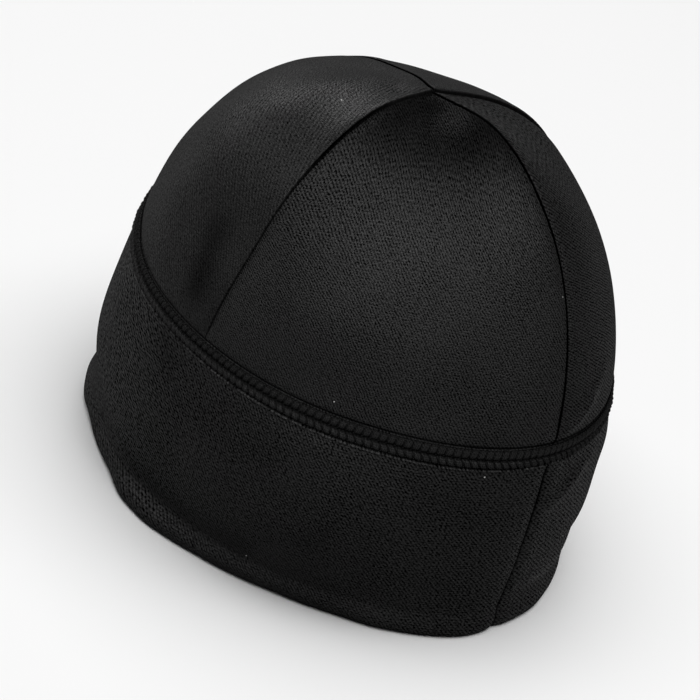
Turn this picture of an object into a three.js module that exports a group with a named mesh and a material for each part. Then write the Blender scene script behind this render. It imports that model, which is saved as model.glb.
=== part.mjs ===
// A running beanie, cut and sewn from fine black jersey: four crown panels, one deep
// band folded double at the hem, and the raised cover-stitched seam that joins them.
//
// Millimetres, +Z up. The hat stands on its hem at z = 0, its front towards -Y and the
// wearer's left towards +X. A place on it is given by two values. Its turn is the angle
// round the hat in degrees, from 0 at the centre back, through 90 at the wearer's left,
// to 180 at the front. Its rise is the way up along the cloth in millimetres, from 0 at
// the hem to the apex.

import * as THREE from 'three';

// Driving dimensions
const BAND_HEIGHT = 74; // hem to the middle of the cover-stitched seam
const CROWN_ARC = 135; // that seam to the apex, along the cloth
const APEX_HEIGHT = 86; // that seam's plane to the apex, straight up
const BAND_WALL = 2.6; // two layers of brushed jersey
const CROWN_WALL = 1.5; // one layer
const PIECE_GAP = 0.3; // between two pieces that are sewn to each other
const SEAM_DEPTH = 1.1; // how far the crown's seams draw the cloth in
const SEAM_REACH = 3.5; // how far from a seam the cloth starts to dip
const BACK_SEAM_DEPTH = 0.8; // the same for the band's centre-back seam
const BACK_SEAM_REACH = 2.5;
const STITCH_HALF_WIDTH = 3.25; // half the cover-stitched seam's width
const STITCH_DIP = 0.8; // how far the threads draw that seam in
const STITCH_DIP_REACH = 4.5;
const FLATTEST_RISE = 176; // where the crown panels are flattest across
const FLATNESS_REACH = 30;

// The section tables. A row holds the distance from the hat's axis out to the cloth in
// eight directions: back, back left, left, front left, front, front right, right and
// back right.
const BAND_SECTIONS = [
  { height: 0, reach: [96, 81.5, 80, 84, 97.5, 87.5, 80.5, 90.5] },
  { height: 37, reach: [98, 90, 81.5, 88, 96, 88, 81.5, 92] },
  { height: 74, reach: [96, 86, 79.5, 83.6, 93.8, 84, 78.5, 88] },
];
// Above the seam the distance is taken from the point where the axis meets the seam's
// plane, at so many degrees above that plane.
const CROWN_SECTIONS = [
  { angle: 25, reach: [90.5, 86, 79.5, 83.2, 89.3, 83.6, 80, 85.5] },
  { angle: 50, reach: [90.9, 88.4, 85.8, 89.7, 88.3, 85.2, 85.2, 85.3] },
  { angle: 72, reach: [92, 90.4, 88.6, 88.1, 85.2, 84.6, 86.2, 86.8] },
];

// The crown's seams. Each starts at one turn on the band and runs into the apex at
// another, and bows sideways by so many degrees half way up.
const CROWN_SEAMS = {
  back: { turn: 0, bow: -5, topTurn: -6 },
  left: { turn: 88, bow: -1.5, topTurn: 85 },
  front: { turn: 180, bow: 4, topTurn: 196 },
  right: { turn: 272, bow: 4, topTurn: 290 },
};

// Folds and hollows that stay in the cloth. Each runs from one place (turn, rise) to
// another. A positive depth stands out, a negative one is a hollow.
const FOLDS = [
  { what: 'hollow above the seam, front left', from: [112, 104], to: [99, 116], width: 15, depth: -1.4 },
  { what: 'soft ridge across the front', from: [118, 160], to: [158, 195], width: 9, depth: 0.8 },
  { what: 'hollow on the front shoulder', from: [148, 132], to: [164, 144], width: 13, depth: -0.7 },
  { what: 'hollow above the rolled hem', from: [122, 18], to: [158, 22], width: 8, depth: -1.2 },
  { what: 'crease beside the back seam, crown', from: [-18, 97], to: [-5, 83], width: 5, depth: 0.9 },
  { what: 'crease beside the back seam, band', from: [-18, 71], to: [-4, 52], width: 5, depth: 1.0 },
  { what: 'hollow between those creases', from: [-22, 84], to: [-8, 66], width: 6, depth: -0.7 },
  { what: 'nip above the hem, back right', from: [-36, 24], to: [-22, 24], width: 6, depth: -1.2 },
  { what: 'hem drawn in, front left', from: [112, 0], to: [121, 6], width: 10, depth: -2.2 },
  { what: 'hem pushed out, front left', from: [140, 2], to: [150, 4], width: 9, depth: 1.3 },
  { what: 'hem pushed out, back left', from: [10, 0], to: [26, 0], width: 12, depth: 2.1 },
  { what: 'hem drawn in, left', from: [52, 0], to: [72, 0], width: 10, depth: -1 },
  { what: 'hem pushed out below the left seam', from: [90, 0], to: [98, 0], width: 8, depth: 1.1 },
  { what: 'hem drawn in, front', from: [130, 0], to: [134, 0], width: 7, depth: -1 },
  { what: 'hem drawn in, back right', from: [-32, 10], to: [-20, 8], width: 8, depth: -1.3 },
  { what: 'bulge beside the creases', from: [-34, 56], to: [-28, 62], width: 8, depth: 1 },
  { what: 'hollow high on the front', from: [186, 152], to: [198, 156], width: 10, depth: -0.8 },
];

// The band's outline where it is cut through, from the hem up the outside, over the top
// edge and down the inside. "out" is measured from the cloth's outer face.
const HEM_ROLL = 0.9;
const BAND_PROFILE = [
  { height: 0, out: 0.1 },
  { height: 0.8, out: 0.7 },
  { height: 3, out: HEM_ROLL },
  { height: 6.5, out: HEM_ROLL * 0.8 },
  { height: 9.5, out: 0.1 },
  { height: 13, out: 0 },
  { height: 22, out: 0 },
  { height: 31, out: 0 },
  { height: 40, out: 0 },
  { height: 49, out: 0 },
  { height: 58, out: 0 },
  { height: 66, out: 0 },
  { height: BAND_HEIGHT - PIECE_GAP / 2, out: 0 },
  { height: BAND_HEIGHT - PIECE_GAP / 2, out: -BAND_WALL },
  { height: 50, out: -BAND_WALL },
  { height: 26, out: -BAND_WALL },
  { height: 3, out: -BAND_WALL },
  { height: 0, out: -BAND_WALL + 0.6 },
];

// The cover-stitched seam's outline: two rounded ridges of thread over one flat joint.
const STITCH_PROFILE = [
  { up: -STITCH_HALF_WIDTH, out: 0.6 },
  { up: -2.6, out: 1.2 },
  { up: -1.3, out: 1.25 },
  { up: 0, out: 0.85 },
  { up: 1.3, out: 1.25 },
  { up: 2.6, out: 1.2 },
  { up: STITCH_HALF_WIDTH, out: 0.6 },
  { up: STITCH_HALF_WIDTH, out: PIECE_GAP },
  { up: 0, out: PIECE_GAP },
  { up: -STITCH_HALF_WIDTH, out: PIECE_GAP },
];

// How finely the pieces are faceted
const RING_STEP = 3.75; // degrees between two sections of a ring
const SEAM_STEPS = [-1.8, -0.8, 0.8, 1.8]; // more sections beside the back seam
const PANEL_COLUMNS = [0, 0.02, 0.05, 0.1, 0.2, 0.32, 0.44, 0.56, 0.68, 0.8, 0.9, 0.95, 0.98, 1];
const PANEL_RISES = [0, 4, 9, 18, 28, 38, 48, 58, 68, 78, 88, 98, 108, 118, 127]; // above the seam

// A smooth closed curve through eight values, one every 45 degrees
function around(values, turn) {
  const step = turn / 45;
  const first = Math.floor(step);
  const part = step - first;
  const [before, start, end, after] = [-1, 0, 1, 2].map((k) => values[(((first + k) % 8) + 8) % 8]);
  const curve = 2 * before - 5 * start + 4 * end - after;
  const twist = 3 * (start - end) + after - before;
  return start + 0.5 * part * (end - before + part * (curve + part * twist));
}

// A smooth curve through the values at the knots, with given slopes at both ends
function through(knots, values, firstSlope, lastSlope, x) {
  const chords = knots.slice(1).map((knot, i) => (values[i + 1] - values[i]) / (knot - knots[i]));
  const slopes = knots.map((knot, i) => {
    if (i === 0) return firstSlope;
    if (i === knots.length - 1) return lastSlope;
    const below = knot - knots[i - 1];
    const above = knots[i + 1] - knot;
    return (chords[i - 1] * above + chords[i] * below) / (below + above);
  });
  let i = 0;
  while (i < knots.length - 2 && x > knots[i + 1]) i += 1;
  const length = knots[i + 1] - knots[i];
  const s = (x - knots[i]) / length;
  const rest = 1 - s;
  return (
    values[i] * rest * rest * (1 + 2 * s) +
    values[i + 1] * s * s * (3 - 2 * s) +
    length * s * rest * (slopes[i] * rest - slopes[i + 1] * s)
  );
}

// How far out the band's cloth is, on a parabola through its three sections
function bandReach(turn, height) {
  const [hem, middle, top] = BAND_SECTIONS.map((row) => around(row.reach, turn));
  const t = height / BAND_HEIGHT;
  return hem * (1 - t) * (1 - 2 * t) + 4 * middle * t * (1 - t) + top * t * (2 * t - 1);
}

// How far out the crown's cloth is. It leaves the band at the band's own slope.
function crownReach(turn, angle) {
  const [hem, middle, top] = BAND_SECTIONS.map((row) => around(row.reach, turn));
  const slope = ((hem - 4 * middle + 3 * top) / BAND_HEIGHT) * top * (Math.PI / 180);
  const knots = [0, ...CROWN_SECTIONS.map((row) => row.angle), 90];
  const values = [top, ...CROWN_SECTIONS.map((row) => around(row.reach, turn)), APEX_HEIGHT];
  return through(knots, values, slope, 0, angle);
}

function crownAngle(rise) {
  return ((rise - BAND_HEIGHT) / CROWN_ARC) * 90;
}

// The turn at which a crown seam stands, so high up
function seamTurn(seam, rise) {
  const way = Math.min(Math.max((rise - BAND_HEIGHT) / CROWN_ARC, 0), 1);
  return seam.turn + seam.bow * Math.sin(Math.PI * way) + (seam.topTurn - seam.turn) * way * way;
}

// The distance from the hat's axis at a place, to measure along the cloth round it
function girth(rise) {
  if (rise <= BAND_HEIGHT) return 88;
  return 88 * Math.cos((crownAngle(rise) * Math.PI) / 180);
}

// The way round from one turn to another along the cloth, by the shorter side
function wayRound(turn, otherTurn, rise) {
  const difference = ((((otherTurn - turn + 180) % 360) + 360) % 360) - 180;
  return ((difference * Math.PI) / 180) * girth(rise);
}

function bump(distance, reach) {
  return Math.exp(-((distance / reach) ** 2));
}

function rampUp(x, length) {
  const t = Math.min(Math.max(x / length, 0), 1);
  return t * t * (3 - 2 * t);
}

// How far a fold moves the cloth at a place. The stiff cover-stitched seam stays even.
function foldOffset(fold, turn, rise) {
  const start = [wayRound(turn, fold.from[0], rise), fold.from[1] - rise];
  const turned = ((fold.to[0] - fold.from[0]) * Math.PI) / 180;
  const along = [turned * girth(rise), fold.to[1] - fold.from[1]];
  const length2 = along[0] ** 2 + along[1] ** 2;
  const t = Math.min(Math.max(-(start[0] * along[0] + start[1] * along[1]) / length2, 0), 1);
  const distance = Math.hypot(start[0] + along[0] * t, start[1] + along[1] * t);
  const freedom = rampUp(Math.abs(rise - BAND_HEIGHT) - STITCH_HALF_WIDTH, 6);
  return fold.depth * bump(distance, fold.width) * freedom;
}

// How far the seams draw the cloth in at a place
function seamOffset(turn, rise) {
  const aboveBand = rampUp(rise - BAND_HEIGHT - STITCH_HALF_WIDTH, 8);
  if (aboveBand > 0) {
    const distances = Object.values(CROWN_SEAMS).map((seam) =>
      Math.abs(wayRound(turn, seamTurn(seam, rise), rise)),
    );
    return -SEAM_DEPTH * bump(Math.min(...distances), SEAM_REACH) * aboveBand;
  }
  const belowBand = rampUp(BAND_HEIGHT - STITCH_HALF_WIDTH - rise, 6);
  const fromBackSeam = wayRound(turn, CROWN_SEAMS.back.turn, rise);
  return -BACK_SEAM_DEPTH * bump(fromBackSeam, BACK_SEAM_REACH) * belowBand;
}

// The point so far out from the cloth's outer face at a place
function place(turn, rise, out) {
  const folds = FOLDS.reduce((sum, fold) => sum + foldOffset(fold, turn, rise), 0);
  const dip = STITCH_DIP * bump(rise - BAND_HEIGHT, STITCH_DIP_REACH);
  const off = out + folds + seamOffset(turn, rise) - dip;
  const a = (turn * Math.PI) / 180;
  if (rise <= BAND_HEIGHT) {
    const r = bandReach(turn, rise) + off;
    return [r * Math.sin(a), r * Math.cos(a), rise];
  }
  const lift = (crownAngle(rise) * Math.PI) / 180;
  const reach = crownReach(turn, crownAngle(rise)) + off;
  const r = reach * Math.cos(lift);
  return [r * Math.sin(a), r * Math.cos(a), BAND_HEIGHT + reach * Math.sin(lift)];
}

// How far a crown panel lies inside the round hat: most along its middle, near the top
function panelFlatness(flatness, turn, first, last, rise) {
  const radians = Math.PI / 180;
  const belowApex = Math.min((BAND_HEIGHT + CROWN_ARC - rise) / 12, 1);
  const depth = flatness * bump(rise - FLATTEST_RISE, FLATNESS_REACH) * belowApex;
  const roundness = Math.cos((turn - (first + last) / 2) * radians);
  return -depth * (roundness - Math.cos(((last - first) / 2) * radians));
}

function geometryOf(points, triangles) {
  const geometry = new THREE.BufferGeometry();
  geometry.setAttribute('position', new THREE.Float32BufferAttribute(points.flat(), 3));
  geometry.setIndex(triangles.flat());
  geometry.computeVertexNormals();
  return geometry;
}

function quad(a, b, c, d) {
  return [a, b, c, a, c, d];
}

// A closed ring round the hat. Its sections stand at the given turns, and each is a
// closed outline of places and distances off the cloth, listed up the outside first.
function ringGeometry(turns, outline) {
  const points = turns.flatMap((turn) => outline.map(([rise, out]) => place(turn, rise, out)));
  const size = outline.length;
  const triangles = turns.flatMap((turn, i) => {
    const here = i * size;
    const next = ((i + 1) % turns.length) * size;
    return outline.map((corner, k) => {
      const above = (k + 1) % size;
      return quad(here + k, here + above, next + above, next + k);
    });
  });
  return geometryOf(points, triangles);
}

// The turns of a ring's sections, finer beside the back seam
function ringTurns() {
  const even = Array.from({ length: 360 / RING_STEP }, (item, i) => i * RING_STEP);
  return [...even, ...SEAM_STEPS.map((turn) => (turn + 360) % 360)].sort((a, b) => a - b);
}

function lowerBandGeometry() {
  return ringGeometry(ringTurns(), BAND_PROFILE.map(({ height, out }) => [height, out]));
}

function coverStitchGeometry() {
  return ringGeometry(ringTurns(), STITCH_PROFILE.map(({ up, out }) => [BAND_HEIGHT + up, out]));
}

// One crown panel: a quarter of the dome between two seams, moved half a gap away from
// both. Its outer face comes first in the points, then its inner face.
function crownPanelGeometry(firstSeam, lastSeam, shift, flatness) {
  const columns = PANEL_COLUMNS.length;
  const rows = PANEL_RISES.length;
  const face = (out) => {
    const points = [];
    PANEL_RISES.forEach((aboveSeam) => {
      const rise = BAND_HEIGHT + PIECE_GAP / 2 + aboveSeam;
      const first = seamTurn(firstSeam, rise);
      const last = seamTurn(lastSeam, rise);
      PANEL_COLUMNS.forEach((part) => {
        const turn = first + (last - first) * part;
        points.push(place(turn, rise, out + panelFlatness(flatness, turn, first, last, rise)));
      });
    });
    points.push(place((firstSeam.turn + lastSeam.turn) / 2, BAND_HEIGHT + CROWN_ARC, out));
    return points.map(([x, y, z]) => [x + shift[0], y + shift[1], z]);
  };
  const outer = face(0);
  const inner = face(-CROWN_WALL);
  const under = outer.length;
  const tip = outer.length - 1;
  const triangles = [];
  const topRow = (rows - 1) * columns;
  for (let row = 0; row < rows - 1; row += 1) {
    for (let column = 0; column < columns - 1; column += 1) {
      const a = row * columns + column;
      triangles.push(quad(a, a + columns, a + columns + 1, a + 1));
      triangles.push(quad(under + a, under + a + 1, under + a + columns + 1, under + a + columns));
    }
  }
  for (let column = 0; column < columns - 1; column += 1) {
    const a = topRow + column;
    triangles.push([a, tip, a + 1], [under + a, under + a + 1, under + tip]);
    triangles.push(quad(column, column + 1, under + column + 1, under + column));
  }
  for (let row = 0; row < rows; row += 1) {
    const a = row * columns;
    const b = a + columns - 1;
    const aboveA = row < rows - 1 ? a + columns : tip;
    const aboveB = row < rows - 1 ? b + columns : tip;
    triangles.push(quad(a, under + a, under + aboveA, aboveA));
    triangles.push(quad(b, aboveB, under + aboveB, under + b));
  }
  return geometryOf([...outer, ...inner], triangles);
}

const jersey = new THREE.MeshStandardMaterial({ color: 0x1b1b1d, roughness: 0.9, metalness: 0 });
const doubleJersey = new THREE.MeshStandardMaterial({ color: 0x18181a, roughness: 0.9, metalness: 0 });
const stitching = new THREE.MeshStandardMaterial({ color: 0x121214, roughness: 0.8, metalness: 0 });

function piece(name, geometry, material) {
  const mesh = new THREE.Mesh(geometry, material);
  mesh.name = name;
  return mesh;
}

function crownPanel(name, firstSeam, lastSeam, sideX, sideY, flatness) {
  const shift = [(sideX * PIECE_GAP) / 2, (sideY * PIECE_GAP) / 2];
  return piece(name, crownPanelGeometry(firstSeam, lastSeam, shift, flatness), jersey);
}

const { back, left, front, right } = CROWN_SEAMS;
const backAgain = { turn: back.turn + 360, bow: back.bow, topTurn: back.topTurn + 360 };
const beanie = new THREE.Group();
beanie.name = 'running_beanie';
beanie.add(
  crownPanel('crown_back_left', back, left, 1, 1, 9),
  crownPanel('crown_front_left', left, front, 1, -1, 9),
  crownPanel('crown_front_right', front, right, -1, -1, 6.5),
  crownPanel('crown_back_right', right, backAgain, -1, 1, 5),
  piece('lower_band', lowerBandGeometry(), doubleJersey),
  piece('cover_stitch', coverStitchGeometry(), stitching),
);

export default beanie;
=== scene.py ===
# The looks of a running beanie, cut and sewn from fine black jersey: four crown panels, a
# band folded double at the hem, and the cover-stitched seam with its threads.
#
# Shapes are worked out in millimetres, as in the part's source, and turned to metres when
# a mesh is made. A place on the hat is its turn (degrees round the hat, 0 at the centre
# back, 90 at the wearer's left, 180 at the front) and its rise (millimetres up along the
# cloth, 0 at the hem, 74 at the stitched seam, 209 at the apex).

import math

import bpy
import numpy as np
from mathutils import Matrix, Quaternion, Vector


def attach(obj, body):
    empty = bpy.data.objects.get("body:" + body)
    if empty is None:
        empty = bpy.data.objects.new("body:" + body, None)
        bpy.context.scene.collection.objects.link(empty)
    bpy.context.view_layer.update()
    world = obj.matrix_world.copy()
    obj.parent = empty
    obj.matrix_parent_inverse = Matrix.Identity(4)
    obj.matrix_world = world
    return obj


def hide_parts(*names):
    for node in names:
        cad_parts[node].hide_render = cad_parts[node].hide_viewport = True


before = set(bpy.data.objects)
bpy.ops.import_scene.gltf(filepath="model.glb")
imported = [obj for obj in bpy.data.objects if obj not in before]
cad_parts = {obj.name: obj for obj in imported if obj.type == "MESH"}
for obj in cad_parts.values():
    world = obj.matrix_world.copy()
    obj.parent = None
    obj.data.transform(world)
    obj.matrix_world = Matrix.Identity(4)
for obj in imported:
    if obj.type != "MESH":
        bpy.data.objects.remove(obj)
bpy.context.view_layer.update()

MM = 0.001  # in metres
DEGREE = math.pi / 180

# Camera, at the photograph's angle and tilted as the photograph is, in degrees and metres
VIEW_ROUND = 129.76
VIEW_UP = 30.04
VIEW_TILT = 17.27
VIEW_DISTANCE = 1.2
PIXELS_PER_METRE = 2860  # in a picture as wide as the photograph
PICTURE_WIDTH = 700
SENSOR_WIDTH = 36
NEAREST_SEEN = 0.05
FARTHEST_SEEN = 50
LOOKED_AT = Vector((0, 0, 0.070))
LOOK_SIDEWAYS = -0.00086  # the aim is moved to stand the hat where the photograph has it
LOOK_UPWARDS = -0.0145


def direction(round_hat, up):
    """The way out from the hat, so many degrees round it from the front and so many up."""
    return Vector(
        (
            math.sin(round_hat * DEGREE) * math.cos(up * DEGREE),
            -math.cos(round_hat * DEGREE) * math.cos(up * DEGREE),
            math.sin(up * DEGREE),
        )
    )


def add_camera():
    away = direction(VIEW_ROUND, VIEW_UP)
    sideways = direction(VIEW_ROUND + 90, 0)
    upwards = away.cross(sideways)
    aim = LOOKED_AT + sideways * LOOK_SIDEWAYS + upwards * LOOK_UPWARDS
    eye = LOOKED_AT + away * VIEW_DISTANCE
    data = bpy.data.cameras.new("camera")
    data.sensor_width = SENSOR_WIDTH
    data.lens = PIXELS_PER_METRE * VIEW_DISTANCE * SENSOR_WIDTH / PICTURE_WIDTH
    data.clip_start = NEAREST_SEEN
    data.clip_end = FARTHEST_SEEN
    camera = bpy.data.objects.new("camera", data)
    camera.rotation_mode = "QUATERNION"
    camera.location = eye
    level = (aim - eye).to_track_quat("-Z", "Y")
    camera.rotation_quaternion = level @ Quaternion((0, 0, 1), VIEW_TILT * DEGREE)
    bpy.context.scene.collection.objects.link(camera)
    bpy.context.scene.camera = camera


add_camera()

# Driving dimensions, as in the part's source
BAND_HEIGHT = 74.0
CROWN_ARC = 135.0  # along the cloth, from the stitched seam to the apex
APEX_HEIGHT = 86.0  # above the stitched seam's plane
GIRTH_RADIUS = 88.0
SEAM_DEPTH = 0.55  # how far in a crown seam lies, and how wide the cloth bends to it
SEAM_REACH = 2.4
STITCH_HALF_WIDTH = 3.25
STITCH_DIP = 0.8  # how far the stitched seam draws the cloth in, and how wide
STITCH_DIP_REACH = 4.5
FLATTEST_RISE = 176  # where the crown panels are flattest, and how far that reaches
FLATNESS_REACH = 30
FLATNESS_END = 12  # the last of the cloth, in which it dies away to the apex
FOLD_FREEDOM = 6  # how far from the stiff stitched seam a fold has its full depth
CROWN_WAVE = 0.28  # how far the cloth waves slowly in and out
BAND_WAVE = 0.25

# Slow waves in the cloth: share, millimetres round and millimetres up to a radian, start
WAVES = (
    (0.5, 9.1, 17, 0.4),
    (0.4, 14.3, -8.7, 2.1),
    (0.3, 6.2, 6.9, 4.4),
)

# Distance from the axis, in eight directions: the band's hem, its middle and the seam
BAND_REACH = [
    [96, 81.5, 80, 84, 97.5, 87.5, 80.5, 90.5],
    [98, 90, 81.5, 88, 96, 88, 81.5, 92],
    [96, 86, 79.5, 83.6, 93.8, 84, 78.5, 88],
]
# The crown, at three angles above the seam's plane: distance from the middle of that plane
CROWN_ANGLES = [25, 50, 72]
CROWN_REACH = [
    [90.5, 86, 79.5, 83.2, 89.3, 83.6, 80, 85.5],
    [90.9, 88.4, 85.8, 89.7, 88.3, 85.2, 85.2, 85.3],
    [92, 90.4, 88.6, 88.1, 85.2, 84.6, 86.2, 86.8],
]

# Crown seams: turn at the band, how far each bows half way up, turn at the apex
BACK_SEAM = (0, -5, -6)
LEFT_SEAM = (88, -1.5, 85)
FRONT_SEAM = (180, 4, 196)
RIGHT_SEAM = (272, 4, 290)
BACK_SEAM_AGAIN = (360, -5, 354)

# Folds that stay in the cloth: from (turn, rise), to (turn, rise), width, depth. A fold
# with a negative depth is a hollow.
FOLDS = [
    # hollow above the seam, front left
    ((112, 104), (99, 116), 15, -1.4),
    # soft ridge across the front
    ((118, 160), (158, 195), 9, 0.8),
    # hollow on the front shoulder
    ((148, 132), (164, 144), 13, -0.7),
    # hollow above the rolled hem
    ((122, 18), (158, 22), 8, -1.2),
    # creases beside the back seam, on the crown and on the band
    ((-19, 94), (-5, 81), 3.0, 0.7),
    ((-11, 87), (-5, 81), 2.6, 0.7),
    ((-19, 67), (-4, 52), 3.0, 0.8),
    ((-11, 58), (-4, 52), 2.6, 0.7),
    ((-20, 17), (-7, 18), 3.2, 0.7),
    # hollow between those creases
    ((-22, 84), (-8, 66), 6, -1.0),
    # nip above the hem, back right
    ((-36, 24), (-22, 24), 6, -1.2),
    # hem drawn in and pushed out again, front left
    ((112, 0), (121, 6), 10, -2.2),
    ((140, 2), (150, 4), 9, 1.3),
    # hem pushed out, back left
    ((10, 0), (26, 0), 12, 2.1),
    # hem drawn in and pushed out, left
    ((52, 0), (72, 0), 10, -1.0),
    ((90, 0), (98, 0), 8, 1.1),
    # hem drawn in, front and back right
    ((130, 0), (134, 0), 7, -1.0),
    ((-32, 10), (-20, 8), 8, -1.3),
    # bulge beside the creases
    ((-34, 56), (-28, 62), 8, 1.0),
    # hollow high on the front
    ((186, 152), (198, 156), 10, -0.8),
]

# Painted shade in hollows, where the cloth's colour and gloss are drawn darker: from (turn,
# rise), to (turn, rise), width, share lost. The crest of a crease gets painted light instead, so
# its share is negative.
PAINTED_SHADING_PLACES = [
    # above the seam, front left
    ((101, 112), (97, 91), 7, 0.45),
    # under the seam and above the rolled hem, front left
    ((103, 72), (97, 62), 6, 0.25),
    ((104, 14), (62, 14), 5, 0.25),
    # crests of the creases beside the back seam
    ((-15, 88), (-5, 80), 1.8, -0.7),
    ((-16, 60), (-3, 51), 2.2, -0.8),
    ((-20, 17), (-7, 18), 2.6, -0.7),
]


# The cloth's surface


def around_hat(reach, turn):
    """A smooth closed curve through eight values, one every 45 degrees of turn."""
    reach = np.asarray(reach, float)
    step = turn / 45.0
    first = np.floor(step).astype(int)
    part = step - first
    before, start, end, after = (reach[(first + k) % 8] for k in (-1, 0, 1, 2))
    curve = 2 * before - 5 * start + 4 * end - after
    twist = 3 * (start - end) + after - before
    return start + 0.5 * part * (end - before + part * (curve + part * twist))


def band_reach(turn, rise):
    """How far the band's cloth is from the hat's axis."""
    hem, middle, top = (around_hat(row, turn) for row in BAND_REACH)
    t = rise / BAND_HEIGHT
    return hem * (1 - t) * (1 - 2 * t) + 4 * middle * t * (1 - t) + top * t * (2 * t - 1)


def crown_angle(rise):
    return (rise - BAND_HEIGHT) / CROWN_ARC * 90


def crown_reach(turn, angle):
    """How far the crown's cloth is from the middle of the seam's plane."""
    hem, middle, top = (around_hat(row, turn) for row in BAND_REACH)
    knots = [0, *CROWN_ANGLES, 90]
    values = [top, *(around_hat(row, turn) for row in CROWN_REACH), APEX_HEIGHT + 0 * top]
    slopes = [(hem - 4 * middle + 3 * top) / BAND_HEIGHT * top * DEGREE]
    for i in (1, 2, 3):
        below = knots[i] - knots[i - 1]
        above = knots[i + 1] - knots[i]
        rise_below = (values[i] - values[i - 1]) / below
        rise_above = (values[i + 1] - values[i]) / above
        slopes.append((rise_below * above + rise_above * below) / (below + above))
    slopes.append(0 * top)
    reach = 0 * top
    for i in range(4):
        length = knots[i + 1] - knots[i]
        s = (angle - knots[i]) / length
        rest = 1 - s
        curve = (
            values[i] * rest * rest * (1 + 2 * s)
            + values[i + 1] * s * s * (3 - 2 * s)
            + length * s * rest * (slopes[i] * rest - slopes[i + 1] * s)
        )
        here = (s >= 0) & ((s <= 1) if i == 3 else (s < 1))
        reach = np.where(here, curve, reach)
    return reach


def seam_turn(seam, rise):
    """The turn at which a crown seam stands, so high up."""
    turn, bow, top_turn = seam
    way = np.clip((rise - BAND_HEIGHT) / CROWN_ARC, 0, 1)
    return turn + bow * np.sin(math.pi * way) + (top_turn - turn) * way**2


def girth(rise):
    """The nominal distance from the hat's axis, to measure along the cloth round it."""
    lift = np.clip(crown_angle(rise), 0, 90) * DEGREE
    return GIRTH_RADIUS * np.cos(lift)


def turned(start, end):
    """Degrees from one turn to another, the short way round."""
    return (end - start + 180) % 360 - 180


def way_round(turn, other_turn, rise):
    return turned(turn, other_turn) * DEGREE * girth(rise)


def bump(distance, reach):
    return np.exp(-((distance / reach) ** 2))


def ramp_up(x, length):
    t = np.clip(x / length, 0, 1)
    return t * t * (3 - 2 * t)


def from_line(start, end, turn, rise):
    """How far each place is from the line between two others, along the cloth."""
    start_x = way_round(turn, start[0], rise)
    start_y = start[1] - rise
    along_x = (end[0] - start[0]) * DEGREE * girth(rise)
    along_y = end[1] - start[1]
    length_squared = along_x**2 + along_y**2
    t = np.clip(-(start_x * along_x + start_y * along_y) / length_squared, 0, 1)
    return np.hypot(start_x + along_x * t, start_y + along_y * t)


def fold_relief(turn, rise):
    """How far the folds move the cloth. The stiff stitched seam stays even."""
    total = 0
    freedom = ramp_up(np.abs(rise - BAND_HEIGHT) - STITCH_HALF_WIDTH, FOLD_FREEDOM)
    for start, end, width, depth in FOLDS:
        total = total + depth * bump(from_line(start, end, turn, rise), width) * freedom
    return total


def painted_hollow_shading(turn, rise):
    """Painted shading: the share of colour and gloss kept, with painted shade in the hollows and
    painted light on the crests.
    """
    share = 1
    for start, end, width, lost in PAINTED_SHADING_PLACES:
        share = share * (1 - lost * bump(from_line(start, end, turn, rise), width))
    return share


def panel_flatness(flatness, turn, first, last, rise):
    """How far a crown panel lies inside the round hat: most along its middle, near the
    top, where its edges meet the next panels' at an angle."""
    below_apex = np.clip((BAND_HEIGHT + CROWN_ARC - rise) / FLATNESS_END, 0, 1)
    depth = flatness * bump(rise - FLATTEST_RISE, FLATNESS_REACH) * below_apex
    roundness = np.cos((turn - (first + last) / 2) * DEGREE)
    return -depth * (roundness - np.cos((last - first) / 2 * DEGREE))


def place(turn, rise, out):
    """The point so far out from the smooth surface at a place, in millimetres. The threads
    draw the surface in along the stitched seam."""
    turn, rise, out = np.broadcast_arrays(np.asarray(turn, float), rise, out)
    out = out - STITCH_DIP * bump(rise - BAND_HEIGHT, STITCH_DIP_REACH)
    a = turn * DEGREE
    on_band = rise <= BAND_HEIGHT
    lift = np.where(on_band, 0, crown_angle(rise)) * DEGREE
    reach = out + np.where(on_band, band_reach(turn, rise), crown_reach(turn, lift / DEGREE))
    r = reach * np.cos(lift)
    z = np.where(on_band, rise, BAND_HEIGHT + reach * np.sin(lift))
    return np.stack([r * np.sin(a), r * np.cos(a), z], -1)


def softened(knots, values, softness):
    """A curve through the values along straight lines, with its corners softened."""
    step = 0.05
    x = np.arange(knots[0] - 4 * softness, knots[-1] + 4 * softness, step)
    y = np.interp(x, knots, values)
    reach = np.arange(-4 * softness, 4 * softness + step, step)
    weight = np.exp(-0.5 * (reach / softness) ** 2)
    y = np.convolve(np.pad(y, len(weight) // 2, "edge"), weight / weight.sum(), "valid")
    return lambda at: np.interp(at, x, y[: len(x)])


def unevenness(turn, rise, size):
    """Slow waves in the cloth, so that no panel is perfectly even."""
    x = turn * DEGREE * GIRTH_RADIUS
    size = size * (girth(rise) / GIRTH_RADIUS) ** 2
    total = 0
    for share, along, up, start in WAVES:
        total = total + share * np.sin(x / along + rise / up + start)
    return size * total


# Meshes


def make_piece(name, points, faces, grain, node=None):
    """A mesh object from points in millimetres. grain is each point's place in the cloth
    before it was sewn, in millimetres, which the knit follows."""
    mesh = bpy.data.meshes.new(name)
    mesh.from_pydata((np.asarray(points) * MM).tolist(), [], faces)
    layer = mesh.uv_layers.new(name="grain")
    corners = np.empty(len(mesh.loops), int)
    mesh.loops.foreach_get("vertex_index", corners)
    layer.data.foreach_set("uv", np.asarray(grain, float)[corners].ravel())
    mesh.shade_smooth()
    mesh.update()
    piece = bpy.data.objects.new(name, mesh)
    bpy.context.scene.collection.objects.link(piece)
    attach(piece, "root")
    if node:
        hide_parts(node)
    return piece


def keep_painted_shading(piece, values):
    """Painted shading kept on each point: 0 is full painted shade deep in a notch, 1 is flat
    cloth, and more is a painted highlight on the crest of a crease."""
    painted_shading = piece.data.attributes.new("open", "FLOAT", "POINT")
    painted_shading.data.foreach_set("value", np.asarray(values, float).ravel())


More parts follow.
